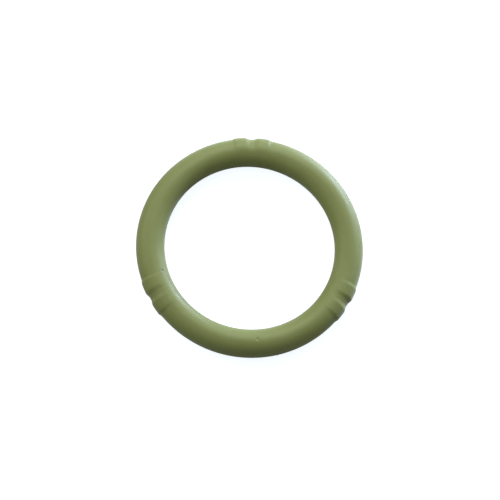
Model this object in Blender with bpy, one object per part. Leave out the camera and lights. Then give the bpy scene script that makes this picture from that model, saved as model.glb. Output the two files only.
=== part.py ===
"""Sealing ring for a press-fit pipe coupling, modelled as the one moulded elastomer ring that it is.

Run with: blender --background --python part.py, or from Blender's text editor.

Metres, +Z up. The origin is the ring's centre, on its mid-plane. +Z is the ring's axis, and the
first leak-indicating station lies on +Y.

The ring is a round cord bent into a circle. At three stations round its outer half the cord stands
a little proud as two pads, with one shallow groove between them. Until the coupling is pressed, water
can pass the ring along these grooves, so a joint that was left unpressed shows itself. The pads and
grooves fade out over the crowns of the cord, so the bore side of the ring is plain all round.

The body is a loft: one closed section of the cord after another is set round the ring, and each is
reshaped by the height that its station has at that place.
"""

import math

import bmesh
import bpy

RING_NAME = "sealing_ring"

# Main sizes of the ring: the tube that it seals sets the bore, and the coupling's bead sets the cord.
BORE_DIAMETER = 0.0151
CORD_DIAMETER = 0.0025

# Stations: how many, and the direction of the first one, seen from +Z.
STATION_COUNT = 3
FIRST_STATION_ANGLE = math.radians(90.0)

# Sizes along the ring's outer line, where a station is at its fullest.
GROOVE_MOUTH_WIDTH = 0.00133
GROOVE_FLOOR_WIDTH = 0.00023
PAD_WIDTH = 0.0008
PAD_END_RUN = 0.0004

# Heights measured straight out of the round cord.
PAD_RISE = 0.000093
GROOVE_DEPTH = 0.000055

# Where round the cord a station fades out, counted from the outer line over the crown at 90 degrees.
FULL_HEIGHT_ANGLE = math.radians(22.0)
FADED_OUT_ANGLE = math.radians(118.0)

# Fineness. The sides are a multiple of four, so that flats lie on the crowns, the bore and the rim.
CORD_SIDES = 32
PLAIN_STEP_ANGLE = math.radians(4.8)
FLOOR_STEPS = 1
WALL_STEPS = 6
PAD_STEPS = 2
PAD_END_STEPS = 4

# Moulded fluoroelastomer: a satin olive green.
RUBBER_COLOUR = (0.223, 0.254, 0.098, 1.0)
RUBBER_ROUGHNESS = 0.5
RUBBER_METALLIC = 0.0

CORD_RADIUS = CORD_DIAMETER / 2.0
RING_RADIUS = (BORE_DIAMETER + CORD_DIAMETER) / 2.0
OUTER_RADIUS = RING_RADIUS + CORD_RADIUS


def clear_scene():
    """Remove every object that the scene starts with."""
    for thing in list(bpy.data.objects):
        bpy.data.objects.remove(thing, do_unlink=True)


def rubber_material():
    """The ring's one material."""
    material = bpy.data.materials.new("olive_fluoroelastomer")
    material.use_nodes = True
    surface = material.node_tree.nodes["Principled BSDF"]
    surface.inputs["Base Color"].default_value = RUBBER_COLOUR
    surface.inputs["Roughness"].default_value = RUBBER_ROUGHNESS
    surface.inputs["Metallic"].default_value = RUBBER_METALLIC
    material.diffuse_color = RUBBER_COLOUR
    return material


def ease(share):
    """A soft S-shaped rise from 0 to 1, level at both ends."""
    share = min(max(share, 0.0), 1.0)
    return share * share * (3.0 - 2.0 * share)


def stretch(start, length, low, high, steps):
    """Pairs of place and height, after the start, where the surface goes softly from low to high."""
    return [
        (start + length * step / steps, low + (high - low) * ease(step / steps))
        for step in range(1, steps + 1)
    ]


def half_station():
    """Pairs of place and height along the outer line, from a groove's middle to a pad's far end."""
    marks = [(0.0, -GROOVE_DEPTH)]
    half_floor = GROOVE_FLOOR_WIDTH / 2.0
    half_mouth = GROOVE_MOUTH_WIDTH / 2.0
    marks += stretch(0.0, half_floor, -GROOVE_DEPTH, -GROOVE_DEPTH, FLOOR_STEPS)
    marks += stretch(half_floor, half_mouth - half_floor, -GROOVE_DEPTH, PAD_RISE, WALL_STEPS)
    marks += stretch(half_mouth, PAD_WIDTH, PAD_RISE, PAD_RISE, PAD_STEPS)
    marks += stretch(half_mouth + PAD_WIDTH, PAD_END_RUN, PAD_RISE, 0.0, PAD_END_STEPS)
    return marks


def section_places():
    """Angle round the ring and station height of every section, once round the ring."""
    half = [(place / OUTER_RADIUS, height) for place, height in half_station()]
    station = [(-angle, height) for angle, height in reversed(half[1:])] + half
    pitch = math.tau / STATION_COUNT
    plain_arc = pitch - 2.0 * half[-1][0]
    plain_steps = max(1, math.ceil(plain_arc / PLAIN_STEP_ANGLE))
    places = []
    for index in range(STATION_COUNT):
        middle = FIRST_STATION_ANGLE + index * pitch
        places += [(middle + angle, height) for angle, height in station]
        plain_start = middle + half[-1][0]
        places += [(plain_start + plain_arc * step / plain_steps, 0.0) for step in range(1, plain_steps)]
    return places


def station_share(cord_angle):
    """How much of a station's height is left at this angle round the cord, from the outer line."""
    from_outer_line = abs(math.remainder(cord_angle, math.tau))
    return 1.0 - ease((from_outer_line - FULL_HEIGHT_ANGLE) / (FADED_OUT_ANGLE - FULL_HEIGHT_ANGLE))


def section_points(ring_angle, height):
    """The corners of the cord's section at one place round the ring.

    The section's sides touch the round cord from outside, so that the flats on the crowns stand
    exactly a cord's diameter apart, and the flats on the bore and the rim give the true diameters.
    A station moves the corners straight out of the cord.
    """
    points = []
    for side in range(CORD_SIDES):
        cord_angle = math.tau * (side + 0.5) / CORD_SIDES
        corner = CORD_RADIUS / math.cos(math.pi / CORD_SIDES) + height * station_share(cord_angle)
        reach = RING_RADIUS + corner * math.cos(cord_angle)
        points.append(
            (
                reach * math.cos(ring_angle),
                reach * math.sin(ring_angle),
                corner * math.sin(cord_angle),
            )
        )
    return points


def loft_ring():
    """The ring's body: neighbouring sections joined side by side, the last one to the first."""
    shape = bmesh.new()
    sections = [[shape.verts.new(point) for point in section_points(*place)] for place in section_places()]
    for section, following in zip(sections, sections[1:] + sections[:1]):
        for side in range(CORD_SIDES):
            after = (side + 1) % CORD_SIDES
            shape.faces.new((section[side], following[side], following[after], section[after]))
    mesh = bpy.data.meshes.new(RING_NAME)
    shape.to_mesh(mesh)
    shape.free()
    mesh.shade_smooth()
    return mesh


def build_sealing_ring():
    """The finished ring in a collection of its own."""
    collection = bpy.data.collections.new("Sealing ring")
    bpy.context.scene.collection.children.link(collection)
    ring = bpy.data.objects.new(RING_NAME, loft_ring())
    ring.data.materials.append(rubber_material())
    collection.objects.link(ring)


clear_scene()
build_sealing_ring()
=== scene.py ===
"""The looks of a moulded sealing ring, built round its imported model.

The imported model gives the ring's place and size. This script puts a finely modelled ring in the place
of the faceted solid, gives it a moulded rubber finish, and sets it on a white table under soft studio
light, seen from the photograph's angle.

Lengths are in metres and angles in radians, unless a name says otherwise.
"""

import logging
import math
from dataclasses import dataclass, field
from enum import Enum

import bpy
from mathutils import Matrix, Vector


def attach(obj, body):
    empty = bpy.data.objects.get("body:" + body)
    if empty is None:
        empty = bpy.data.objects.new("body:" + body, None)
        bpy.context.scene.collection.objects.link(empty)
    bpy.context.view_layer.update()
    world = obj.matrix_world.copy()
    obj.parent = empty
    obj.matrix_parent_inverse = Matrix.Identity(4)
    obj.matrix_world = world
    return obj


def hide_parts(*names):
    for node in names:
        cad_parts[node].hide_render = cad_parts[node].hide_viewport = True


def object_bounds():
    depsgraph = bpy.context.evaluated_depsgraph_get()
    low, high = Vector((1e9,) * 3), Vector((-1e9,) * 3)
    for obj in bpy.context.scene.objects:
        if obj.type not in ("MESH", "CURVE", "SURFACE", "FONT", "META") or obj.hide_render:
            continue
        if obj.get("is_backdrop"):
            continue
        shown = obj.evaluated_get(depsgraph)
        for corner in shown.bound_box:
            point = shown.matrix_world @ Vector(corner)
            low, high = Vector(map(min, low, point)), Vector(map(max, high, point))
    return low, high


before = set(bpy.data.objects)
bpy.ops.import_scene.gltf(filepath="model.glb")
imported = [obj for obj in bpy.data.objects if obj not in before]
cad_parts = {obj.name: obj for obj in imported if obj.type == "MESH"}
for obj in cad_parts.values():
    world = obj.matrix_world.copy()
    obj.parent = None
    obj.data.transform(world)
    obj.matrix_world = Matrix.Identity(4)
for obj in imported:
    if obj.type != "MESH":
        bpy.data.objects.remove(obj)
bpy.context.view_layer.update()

log = logging.getLogger("sealing_ring")

RING_NODE = "sealing_ring"
ROOT_BODY = "root"
MILLIMETRE = 0.001
PHOTO_SIDE_PIXELS = 500
SENSOR_WIDTH_MM = 36.0

Colour = tuple[float, float, float]
WHITE: Colour = (1.0, 1.0, 1.0)
SOFT_WHITE: Colour = (0.96, 1.0, 0.91)
COOL_WHITE: Colour = (0.66, 0.76, 1.0)


class LampRole(Enum):
    """What a studio lamp does for the picture."""

    KEY = "key"
    FILL = "fill"
    RIM = "rim"
    TOP = "top"
    SIDE = "side"
    GLEAM = "gleam"


def ease(share: float) -> float:
    """Rise softly from 0 to 1, level at both ends.

    Args:
        share: How far along the rise, from 0 to 1; anything beyond is held at the ends.

    Returns:
        The height of the rise there, from 0 to 1.
    """
    share = min(max(share, 0.0), 1.0)
    return share * share * (3.0 - 2.0 * share)


def deselect_all() -> None:
    """Leave object mode clean, with nothing selected."""
    if bpy.context.object is not None and bpy.context.object.mode != "OBJECT":
        bpy.ops.object.mode_set(mode="OBJECT")
    bpy.ops.object.select_all(action="DESELECT")


def make_active(thing: bpy.types.Object) -> None:
    """Select one object alone and make it the one that operators act on.

    Args:
        thing: The object to work on.
    """
    deselect_all()
    thing.select_set(True)
    bpy.context.view_layer.objects.active = thing


@dataclass(frozen=True)
class Station:
    """One leak-indicating station: two slightly proud pads with a shallow groove between them.

    Widths run along the ring's outer line, and heights are measured straight out of the round cord.
    """

    middle: float
    groove_mouth: float = 1.33 * MILLIMETRE
    groove_floor: float = 0.23 * MILLIMETRE
    pad_width: float = 0.8 * MILLIMETRE
    pad_end_run: float = 0.4 * MILLIMETRE
    pad_rise: float = 0.093 * MILLIMETRE
    groove_depth: float = 0.055 * MILLIMETRE
    full_height_angle: float = math.radians(22.0)
    faded_out_angle: float = math.radians(118.0)

    def half_length(self) -> float:
        """Give the length of the outer line from the groove's middle to the pad's far end."""
        return self.groove_mouth / 2.0 + self.pad_width + self.pad_end_run

    def pad_height(self, along: float, cord_angle: float) -> float:
        """Give how far the pads raise the cord at one place, the groove not yet cut.

        Args:
            along: Distance along the outer line from the groove's middle, either way.
            cord_angle: Angle round the cord from its outer line, either way.

        Returns:
            The height over the plain cord.
        """
        past_pad = (abs(along) - self.groove_mouth / 2.0 - self.pad_width) / self.pad_end_run
        return self.pad_rise * (1.0 - ease(past_pad)) * self._left(cord_angle)

    def groove_drop(self, along: float, cord_angle: float) -> float:
        """Give how far the groove is cut down from the pads' height at one place.

        Args:
            along: Distance along the outer line from the groove's middle, either way.
            cord_angle: Angle round the cord from its outer line, either way.

        Returns:
            The depth below the pads.
        """
        wall_run = (self.groove_mouth - self.groove_floor) / 2.0
        past_floor = abs(along) - self.groove_floor / 2.0
        full_drop = self.pad_rise + self.groove_depth
        return full_drop * (1.0 - ease(past_floor / wall_run)) * self._left(cord_angle)

    def _left(self, cord_angle: float) -> float:
        """Give the share of the station's height that is left at an angle round the cord."""
        span = self.faded_out_angle - self.full_height_angle
        return 1.0 - ease((abs(cord_angle) - self.full_height_angle) / span)


@dataclass(frozen=True)
class MouldMark:
    """A small round dent or nub that the mould left in the cord.

    Its height is below zero for a dent, and its darkening is the share of a dark tint painted into its
    middle.
    """

    ring_angle: float
    cord_angle: float
    radius: float
    height: float
    darkening: float = 0.0

    def share(self, distance: float) -> float:
        """Give the share of the mark's height that is reached at a distance from its middle."""
        return 1.0 - ease(distance / self.radius)


@dataclass(frozen=True)
class RubberFinish:
    """Moulded fluoroelastomer: a satin olive green with a faint cool bloom."""

    name: str = "olive_rubber"
    colour: Colour = (0.202, 0.230, 0.072)
    colour_worn: Colour = (0.244, 0.270, 0.098)
    mottle_size: float = 1.6 * MILLIMETRE
    mottle_detail: float = 4.0
    mottle_low: float = 0.3
    mottle_high: float = 0.7
    grain_size: float = 0.11 * MILLIMETRE
    grain_height: float = 0.012 * MILLIMETRE
    grain_detail: float = 2.0
    ripple_size: float = 0.9 * MILLIMETRE
    ripple_height: float = 0.008 * MILLIMETRE
    ripple_detail: float = 3.0
    roughness_low: float = 0.44
    roughness_high: float = 0.52
    sheen: float = 0.5
    sheen_roughness: float = 0.4
    sheen_tint: Colour = (1.0, 1.0, 0.88)
    specular: float = 0.35
    ior: float = 1.5
    # dark tint painted into the middles of the darkened marks
    dark_tint_colour: Colour = (0.04, 0.06, 0.035)

    def material(self, darkened_marks: list[tuple[Vector, MouldMark]]) -> bpy.types.Material:
        """Build the rubber's node material.

        Args:
            darkened_marks: The marks whose middles get a painted dark tint, each with its middle.

        Returns:
            The finished material.
        """
        made = bpy.data.materials.new(self.name)
        made.use_nodes = True
        nodes, links = made.node_tree.nodes, made.node_tree.links
        surface = nodes["Principled BSDF"]
        surface.inputs["IOR"].default_value = self.ior
        surface.inputs["Specular IOR Level"].default_value = self.specular
        surface.inputs["Sheen Weight"].default_value = self.sheen
        surface.inputs["Sheen Roughness"].default_value = self.sheen_roughness
        surface.inputs["Sheen Tint"].default_value = (*self.sheen_tint, 1.0)
        place = nodes.new("ShaderNodeTexCoord").outputs["Object"]

        mottle = self._noise(made, place, self.mottle_size, self.mottle_detail)
        mix = nodes.new("ShaderNodeMix")
        mix.data_type = "RGBA"
        mix.inputs["A"].default_value = (*self.colour, 1.0)
        mix.inputs["B"].default_value = (*self.colour_worn, 1.0)
        links.new(mottle, mix.inputs["Factor"])
        colour = mix.outputs["Result"]
        # paint a dark tint into the colour round each darkened mark's middle
        for middle, mark in darkened_marks:
            colour = self._paint_dark_tint(made, place, colour, middle, mark)
        links.new(colour, surface.inputs["Base Color"])

        gloss = nodes.new("ShaderNodeMapRange")
        gloss.inputs["From Min"].default_value = self.mottle_low
        gloss.inputs["From Max"].default_value = self.mottle_high
        gloss.inputs["To Min"].default_value = self.roughness_low
        gloss.inputs["To Max"].default_value = self.roughness_high
        links.new(mottle, gloss.inputs["Value"])
        links.new(gloss.outputs["Result"], surface.inputs["Roughness"])

        ripple = self._noise(made, place, self.ripple_size, self.ripple_detail)
        grain = self._noise(made, place, self.grain_size, self.grain_detail)
        coarse = self._bump(made, ripple, self.ripple_height, None)
        fine = self._bump(made, grain, self.grain_height, coarse)
        links.new(fine, surface.inputs["Normal"])
        return made

    def _noise(
        self, made: bpy.types.Material, place: bpy.types.NodeSocket, size: float, detail: float
    ) -> bpy.types.NodeSocket:
        """Add a cloudy pattern.

        Args:
            made: The material to add it to.
            place: The coordinates that it reads.
            size: The width of its blotches.
            detail: How many finer layers it carries.

        Returns:
            The pattern's value, from 0 to 1.
        """
        noise = made.node_tree.nodes.new("ShaderNodeTexNoise")
        noise.inputs["Scale"].default_value = 1.0 / size
        noise.inputs["Detail"].default_value = detail
        made.node_tree.links.new(place, noise.inputs["Vector"])
        return noise.outputs["Fac"]

    def _paint_dark_tint(
        self,
        made: bpy.types.Material,
        place: bpy.types.NodeSocket,
        colour: bpy.types.NodeSocket,
        middle: Vector,
        mark: MouldMark,
    ) -> bpy.types.NodeSocket:
        """Darken the rubber inside one mark.

        Args:
            made: The material to add it to.
            place: The coordinates that it reads.
            colour: The colour round the mark.
            middle: The mark's middle.
            mark: The mark whose middle gets the painted dark tint.

        Returns:
            The colour, with a dark tint painted in round the mark's middle.
        """
        nodes, links = made.node_tree.nodes, made.node_tree.links
        away = nodes.new("ShaderNodeVectorMath")
        away.operation = "DISTANCE"
        away.inputs[1].default_value = middle
        links.new(place, away.inputs[0])
        share = nodes.new("ShaderNodeMapRange")
        share.interpolation_type = "SMOOTHSTEP"
        share.inputs["From Max"].default_value = mark.radius
        share.inputs["To Min"].default_value = mark.darkening
        share.inputs["To Max"].default_value = 0.0
        links.new(away.outputs["Value"], share.inputs["Value"])
        mix = nodes.new("ShaderNodeMix")
        mix.data_type = "RGBA"
        mix.inputs["B"].default_value = (*self.dark_tint_colour, 1.0)
        links.new(share.outputs["Result"], mix.inputs["Factor"])
        links.new(colour, mix.inputs["A"])
        return mix.outputs["Result"]

    def _bump(
        self,
        made: bpy.types.Material,
        pattern: bpy.types.NodeSocket,
        height: float,
        below: bpy.types.NodeSocket | None,
    ) -> bpy.types.NodeSocket:
        """Add a relief that follows a pattern.

        Args:
            made: The material to add it to.
            pattern: The pattern's value.
            height: The relief's full height.
            below: The relief that this one lies on, if any.

        Returns:
            The normal that the relief gives.
        """
        bump = made.node_tree.nodes.new("ShaderNodeBump")
        bump.inputs["Distance"].default_value = height
        made.node_tree.links.new(pattern, bump.inputs["Height"])
        if below is not None:
            made.node_tree.links.new(below, bump.inputs["Normal"])
        return bump.outputs["Normal"]


@dataclass
class MouldedRing:
    """The ring's body: a round cord spun round the axis, with its stations raised on the outer half.

    relief_reach is the height that a full weight stands for in the stations' vertex groups.
    """

    finish: RubberFinish
    bore_diameter: float = 15.1 * MILLIMETRE
    cord_diameter: float = 2.5 * MILLIMETRE
    station_count: int = 3
    first_station: float = math.radians(90.0)
    relief_reach: float = 0.3 * MILLIMETRE
    parting_ridge: float = 0.012 * MILLIMETRE
    parting_half_width: float = 0.07 * MILLIMETRE
    cord_corners: int = 128
    fine_step: float = math.radians(0.16)
    plain_step: float = math.radians(1.25)
    weld_distance: float = 0.001 * MILLIMETRE
    marks: tuple[MouldMark, ...] = (
        MouldMark(
            ring_angle=math.radians(199.1),
            cord_angle=math.radians(121.0),
            radius=0.16 * MILLIMETRE,
            height=-0.03 * MILLIMETRE,
            darkening=0.9,
        ),
        MouldMark(
            ring_angle=math.radians(274.75),
            cord_angle=math.radians(94.0),
            radius=0.2 * MILLIMETRE,
            height=-0.05 * MILLIMETRE,
        ),
        MouldMark(
            ring_angle=math.radians(285.0),
            cord_angle=0.0,
            radius=0.13 * MILLIMETRE,
            height=0.06 * MILLIMETRE,
        ),
    )
    stations: list[Station] = field(init=False)

    def __post_init__(self) -> None:
        """Set the stations evenly round the ring."""
        pitch = math.tau / self.station_count
        self.stations = [
            Station(middle=self.first_station + pitch * index) for index in range(self.station_count)
        ]

    @property
    def cord_radius(self) -> float:
        """Give the radius of the plain cord."""
        return self.cord_diameter / 2.0

    @property
    def ring_radius(self) -> float:
        """Give the radius of the circle that the cord's middle runs along."""
        return (self.bore_diameter + self.cord_diameter) / 2.0

    @property
    def outer_radius(self) -> float:
        """Give the radius of the plain cord's outer line."""
        return self.ring_radius + self.cord_radius

    @property
    def bore_radius(self) -> float:
        """Give the radius of the bore."""
        return self.bore_diameter / 2.0

    def build(self) -> bpy.types.Object:
        """Model, finish and place the ring.

        Returns:
            The ring's object.
        """
        ring = self._spin_cord()
        self._raise_stations(ring)
        self._raise_parting_line(ring)
        self._press_marks(ring)
        bpy.ops.object.shade_smooth()
        # the marks whose middles get a painted dark tint
        darkened_marks = [(self._middle(mark), mark) for mark in self.marks if mark.darkening > 0.0]
        ring.data.materials.append(self.finish.material(darkened_marks))
        return ring

    def _fine_arcs(self) -> list[tuple[float, float]]:
        """List the arcs that hold a station or a mark, in order and joined where they overlap."""
        station_half = self.stations[0].half_length() / self.outer_radius
        arcs = [(station.middle - station_half, station.middle + station_half) for station in self.stations]
        for mark in self.marks:
            mark_half = mark.radius / self.bore_radius
            arcs.append((mark.ring_angle - mark_half, mark.ring_angle + mark_half))
        joined: list[tuple[float, float]] = []
        for start, end in sorted(arcs):
            if joined and start <= joined[-1][1]:
                joined[-1] = (joined[-1][0], max(end, joined[-1][1]))
            else:
                joined.append((start, end))
        return joined

    def _spin_cord(self) -> bpy.types.Object:
        """Spin one circle of the cord round the axis, finely where there is relief and coarsely elsewhere.

        Returns:
            The plain closed ring.
        """
        arcs = self._fine_arcs()
        start = arcs[0][0]
        deselect_all()
        bpy.ops.mesh.primitive_circle_add(
            vertices=self.cord_corners,
            radius=self.cord_radius,
            fill_type="NOTHING",
            location=(self.ring_radius * math.cos(start), self.ring_radius * math.sin(start), 0.0),
            rotation=(math.pi / 2.0, 0.0, start),
        )
        ring = bpy.context.object
        ring.name = ring.data.name = "moulded_ring"
        bpy.ops.object.transform_apply(location=True, rotation=True, scale=True)
        bpy.ops.object.mode_set(mode="EDIT")
        bpy.ops.mesh.select_all(action="SELECT")
        next_starts = [arc[0] for arc in arcs[1:]] + [start + math.tau]
        for (arc_start, arc_end), next_start in zip(arcs, next_starts):
            self._spin_on(arc_end - arc_start, self.fine_step)
            self._spin_on(next_start - arc_end, self.plain_step)
        bpy.ops.mesh.select_all(action="SELECT")
        bpy.ops.mesh.remove_doubles(threshold=self.weld_distance)
        bpy.ops.mesh.normals_make_consistent(inside=False)
        bpy.ops.object.mode_set(mode="OBJECT")
        return ring

    def _spin_on(self, arc: float, step: float) -> None:
        """Carry the selected circle of the cord on round the axis, anticlockwise seen from above.

        Args:
            arc: How far to carry it.
            step: The widest step to take.
        """
        bpy.ops.mesh.spin(
            steps=math.ceil(arc / step),
            angle=-arc,
            dupli=False,
            center=(0.0, 0.0, 0.0),
            axis=(0.0, 0.0, 1.0),
        )

    def _middle(self, mark: MouldMark) -> Vector:
        """Give the point of the plain cord that a mark is centred on."""
        reach = self.ring_radius + self.cord_radius * math.cos(mark.cord_angle)
        return Vector(
            (
                reach * math.cos(mark.ring_angle),
                reach * math.sin(mark.ring_angle),
                self.cord_radius * math.sin(mark.cord_angle),
            )
        )

    def _cord_place(self, point: Vector) -> tuple[float, float]:
        """Give a point's angle round the ring and its angle round the cord from the outer line."""
        out = math.hypot(point.x, point.y) - self.ring_radius
        return math.atan2(point.y, point.x), math.atan2(point.z, out)

    def _raise_stations(self, ring: bpy.types.Object) -> None:
        """Push the pads out of the cord and then cut the grooves back into them.

        Args:
            ring: The plain ring.
        """
        pads = ring.vertex_groups.new(name="pads")
        grooves = ring.vertex_groups.new(name="grooves")
        for vertex in ring.data.vertices:
            ring_angle, cord_angle = self._cord_place(vertex.co)
            for station in self.stations:
                along = math.remainder(ring_angle - station.middle, math.tau) * self.outer_radius
                if abs(along) > station.half_length():
                    continue
                height = station.pad_height(along, cord_angle)
                drop = station.groove_drop(along, cord_angle)
                pads.add([vertex.index], height / self.relief_reach, "REPLACE")
                grooves.add([vertex.index], drop / self.relief_reach, "REPLACE")
        self._displace(ring, pads, self.relief_reach)
        self._displace(ring, grooves, -self.relief_reach)

    def _raise_parting_line(self, ring: bpy.types.Object) -> None:
        """Leave the faint ridge where the mould's halves met, along the outer line and in the bore.

        Args:
            ring: The ring to shape.
        """
        line = ring.vertex_groups.new(name="parting_line")
        for vertex in ring.data.vertices:
            share = 1.0 - ease(abs(vertex.co.z) / self.parting_half_width)
            if share > 0.0:
                line.add([vertex.index], share, "REPLACE")
        self._displace(ring, line, self.parting_ridge)

    def _press_marks(self, ring: bpy.types.Object) -> None:
        """Press the small dents into the cord and raise the nub on its outer line.

        Args:
            ring: The ring to shape.
        """
        for index, mark in enumerate(self.marks):
            spot = ring.vertex_groups.new(name=f"mark_{index}")
            middle = self._middle(mark)
            for vertex in ring.data.vertices:
                share = mark.share((vertex.co - middle).length)
                if share > 0.0:
                    spot.add([vertex.index], share, "REPLACE")
            self._displace(ring, spot, mark.height)

    def _displace(self, ring: bpy.types.Object, group: bpy.types.VertexGroup, height: float) -> None:
        """Move a weighted group of points straight out of the surface.

        Args:
            ring: The ring to shape.
            group: The points, with their shares of the height.
            height: How far a full share moves out; a negative height moves in.
        """
        push = ring.modifiers.new(group.name, "DISPLACE")
        push.direction = "NORMAL"
        push.mid_level = 0.0
        push.strength = height
        push.vertex_group = group.name
        make_active(ring)
        bpy.ops.object.modifier_apply(modifier=push.name)


@dataclass(frozen=True)
class TableFinish:
    """A matt table that the camera sees as plain white, but for the ring's faint cool shadow."""

    name: str = "white_table"
    colour: Colour = (0.4, 0.4, 0.4)
    glow_colour: Colour = (0.87, 0.92, 0.965)

    def material(self) -> bpy.types.Material:
        """Build the table's node material.

        Returns:
            The finished material.
        """
        made = bpy.data.materials.new(self.name)
        made.use_nodes = True
        made.cycles.emission_sampling = "NONE"
        nodes, links = made.node_tree.nodes, made.node_tree.links
        nodes.remove(nodes["Principled BSDF"])
        matt = nodes.new("ShaderNodeBsdfDiffuse")
        matt.inputs["Color"].default_value = (*self.colour, 1.0)
        glow = nodes.new("ShaderNodeEmission")
        glow.inputs["Color"].default_value = (*self.glow_colour, 1.0)
        path = nodes.new("ShaderNodeLightPath")
        links.new(path.outputs["Is Camera Ray"], glow.inputs["Strength"])
        both = nodes.new("ShaderNodeAddShader")
        links.new(matt.outputs[0], both.inputs[0])
        links.new(glow.outputs[0], both.inputs[1])
        links.new(both.outputs[0], nodes["Material Output"].inputs["Surface"])
        return made


@dataclass(frozen=True)
class Lamp:
    """One soft square lamp, aimed at the ring.

    A lamp that shines from below stands for the light that the table throws up outside the ring. The
    table lets it through, and only a shade under the bore stops it.
    """

    role: LampRole
    azimuth: float
    elevation: float
    width: float
    power: float
    distance: float = 0.5
    colour: Colour = SOFT_WHITE

    def build(self, shade: bpy.types.Collection) -> bpy.types.Object:
        """Add the lamp.

        Args:
            shade: What alone stops a lamp that shines from below.

        Returns:
            The lamp's object.
        """
        away = Vector(
            (
                math.cos(self.azimuth) * math.cos(self.elevation),
                math.sin(self.azimuth) * math.cos(self.elevation),
                math.sin(self.elevation),
            )
        )
        deselect_all()
        bpy.ops.object.light_add(type="AREA", location=away * self.distance)
        lamp = bpy.context.object
        lamp.name = f"{self.role.value}_lamp"
        lamp.rotation_euler = away.to_track_quat("Z", "Y").to_euler()
        lamp.data.shape = "SQUARE"
        lamp.data.size = self.width
        lamp.data.energy = self.power
        lamp.data.color = self.colour
        if self.elevation < 0.0:
            lamp.light_linking.blocker_collection = shade
        return lamp


@dataclass(frozen=True)
class PhotoCamera:
    """The photograph's own view: nearly straight down from far away."""

    azimuth: float = math.radians(-13.24)
    elevation: float = math.radians(72.86)
    roll: float = math.radians(14.74)
    distance: float = 352.1 * MILLIMETRE
    focal_pixels: float = 3982.9
    ring_right_of_middle_pixels: float = -0.35
    ring_above_middle_pixels: float = 2.37
    clip_ratio: float = 100.0

    def build(self) -> bpy.types.Object:
        """Add the camera and make it the scene's own.

        Returns:
            The camera's object.
        """
        turn = (
            Matrix.Rotation(self.azimuth, 3, "Z")
            @ Matrix.Rotation(math.pi / 2.0 - self.elevation, 3, "X")
            @ Matrix.Rotation(self.roll, 3, "Z")
        )
        pixel = self.distance / self.focal_pixels
        aside = Vector(
            (
                -self.ring_right_of_middle_pixels * pixel,
                -self.ring_above_middle_pixels * pixel,
                self.distance,
            )
        )
        deselect_all()
        bpy.ops.object.camera_add(location=turn @ aside, rotation=turn.to_euler())
        camera = bpy.context.object
        camera.name = "photo_camera"
        camera.data.sensor_width = SENSOR_WIDTH_MM
        camera.data.lens = SENSOR_WIDTH_MM * self.focal_pixels / PHOTO_SIDE_PIXELS
        camera.data.clip_start = self.distance / self.clip_ratio
        camera.data.clip_end = self.distance * self.clip_ratio
        bpy.context.scene.camera = camera
        return camera


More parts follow.
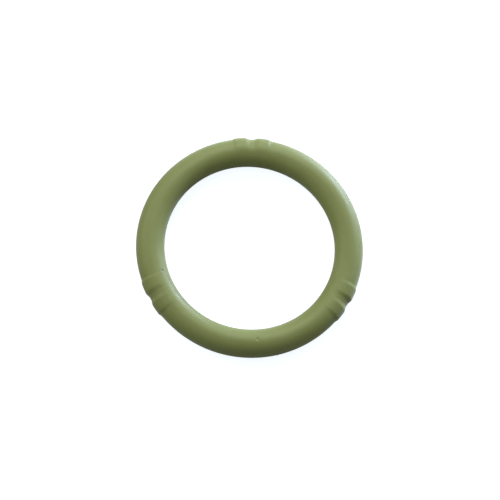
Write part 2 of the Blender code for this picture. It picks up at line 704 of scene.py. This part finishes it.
@dataclass
class Studio:
    """The table, the lamps, the surrounding light and the camera."""

    table_height: float
    shade_radius: float = 4.2 * MILLIMETRE
    shade_corners: int = 128
    shade_drop: float = 0.02 * MILLIMETRE
    table_width: float = 1.2
    surround_strength: float = 0.137
    surround_colour: Colour = SOFT_WHITE
    table_finish: TableFinish = TableFinish()
    camera: PhotoCamera = PhotoCamera()
    lamps: tuple[Lamp, ...] = (
        Lamp(
            LampRole.KEY,
            azimuth=math.radians(90.0),
            elevation=math.radians(50.0),
            width=0.25,
            power=1.06,
        ),
        Lamp(
            LampRole.FILL,
            azimuth=math.radians(150.0),
            elevation=math.radians(32.0),
            width=0.25,
            power=0.78,
        ),
        Lamp(
            LampRole.TOP,
            azimuth=math.radians(180.0),
            elevation=math.radians(70.0),
            width=0.25,
            power=0.47,
        ),
        Lamp(
            LampRole.SIDE,
            azimuth=math.radians(20.0),
            elevation=math.radians(15.0),
            width=0.2,
            power=0.29,
        ),
        Lamp(
            LampRole.RIM,
            azimuth=math.radians(49.0),
            elevation=math.radians(4.0),
            width=0.16,
            power=4.4,
            colour=COOL_WHITE,
        ),
        Lamp(
            LampRole.GLEAM,
            azimuth=math.radians(49.0),
            elevation=math.radians(-24.0),
            width=0.16,
            power=1.6,
            colour=COOL_WHITE,
        ),
    )

    def build(self) -> None:
        """Set up the whole studio."""
        self._lay_table()
        self._light_surround()
        shade = self._shade_bore()
        for lamp in self.lamps:
            log.info("lamp %s", lamp.build(shade).name)
        log.info("camera %s", self.camera.build().name)
        bpy.context.scene.view_settings.view_transform = "Standard"

    def _lay_table(self) -> None:
        """Lay the table under the ring."""
        deselect_all()
        bpy.ops.mesh.primitive_plane_add(size=self.table_width, location=(0.0, 0.0, self.table_height))
        table = bpy.context.object
        table.name = table.data.name = "table"
        bpy.ops.object.transform_apply(location=True, rotation=True, scale=True)
        table.data.materials.append(self.table_finish.material())
        table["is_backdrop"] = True

    def _shade_bore(self) -> bpy.types.Collection:
        """Hide a disc under the table, so that light from below misses the ring's inner side.

        Returns:
            The collection that holds the disc.
        """
        deselect_all()
        bpy.ops.mesh.primitive_circle_add(
            vertices=self.shade_corners,
            radius=self.shade_radius,
            fill_type="NGON",
            location=(0.0, 0.0, self.table_height - self.shade_drop),
        )
        disc = bpy.context.object
        disc.name = disc.data.name = "bore_shade"
        bpy.ops.object.transform_apply(location=True, rotation=True, scale=True)
        disc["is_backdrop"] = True
        shade = bpy.data.collections.new("bore_shade")
        shade.objects.link(disc)
        return shade

    def _light_surround(self) -> None:
        """Fill the surroundings with even light, which the camera sees as plain white."""
        world = bpy.data.worlds.new("surround")
        bpy.context.scene.world = world
        world.use_nodes = True
        nodes, links = world.node_tree.nodes, world.node_tree.links
        path = nodes.new("ShaderNodeLightPath")
        strength = nodes.new("ShaderNodeMapRange")
        strength.inputs["To Min"].default_value = self.surround_strength
        strength.inputs["To Max"].default_value = 1.0
        links.new(path.outputs["Is Camera Ray"], strength.inputs["Value"])
        links.new(strength.outputs["Result"], nodes["Background"].inputs["Strength"])
        tint = nodes.new("ShaderNodeMix")
        tint.data_type = "RGBA"
        tint.inputs["A"].default_value = (*self.surround_colour, 1.0)
        tint.inputs["B"].default_value = (*WHITE, 1.0)
        links.new(path.outputs["Is Camera Ray"], tint.inputs["Factor"])
        links.new(tint.outputs["Result"], nodes["Background"].inputs["Color"])


def hand_over(piece: bpy.types.Object) -> None:
    """Tell the frame what a finished piece rides on and stands for.

    Args:
        piece: The finished piece.
    """
    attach(piece, ROOT_BODY)
    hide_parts(RING_NODE)
    log.info("piece %s, %d points", piece.name, len(piece.data.vertices))


def main() -> None:
    """Build the ring and its studio in order."""
    logging.basicConfig(level=logging.INFO, format="%(name)s: %(message)s")
    hand_over(MouldedRing(finish=RubberFinish()).build())
    lowest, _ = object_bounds()
    Studio(table_height=lowest.z).build()


if __name__ == "__main__":
    main()
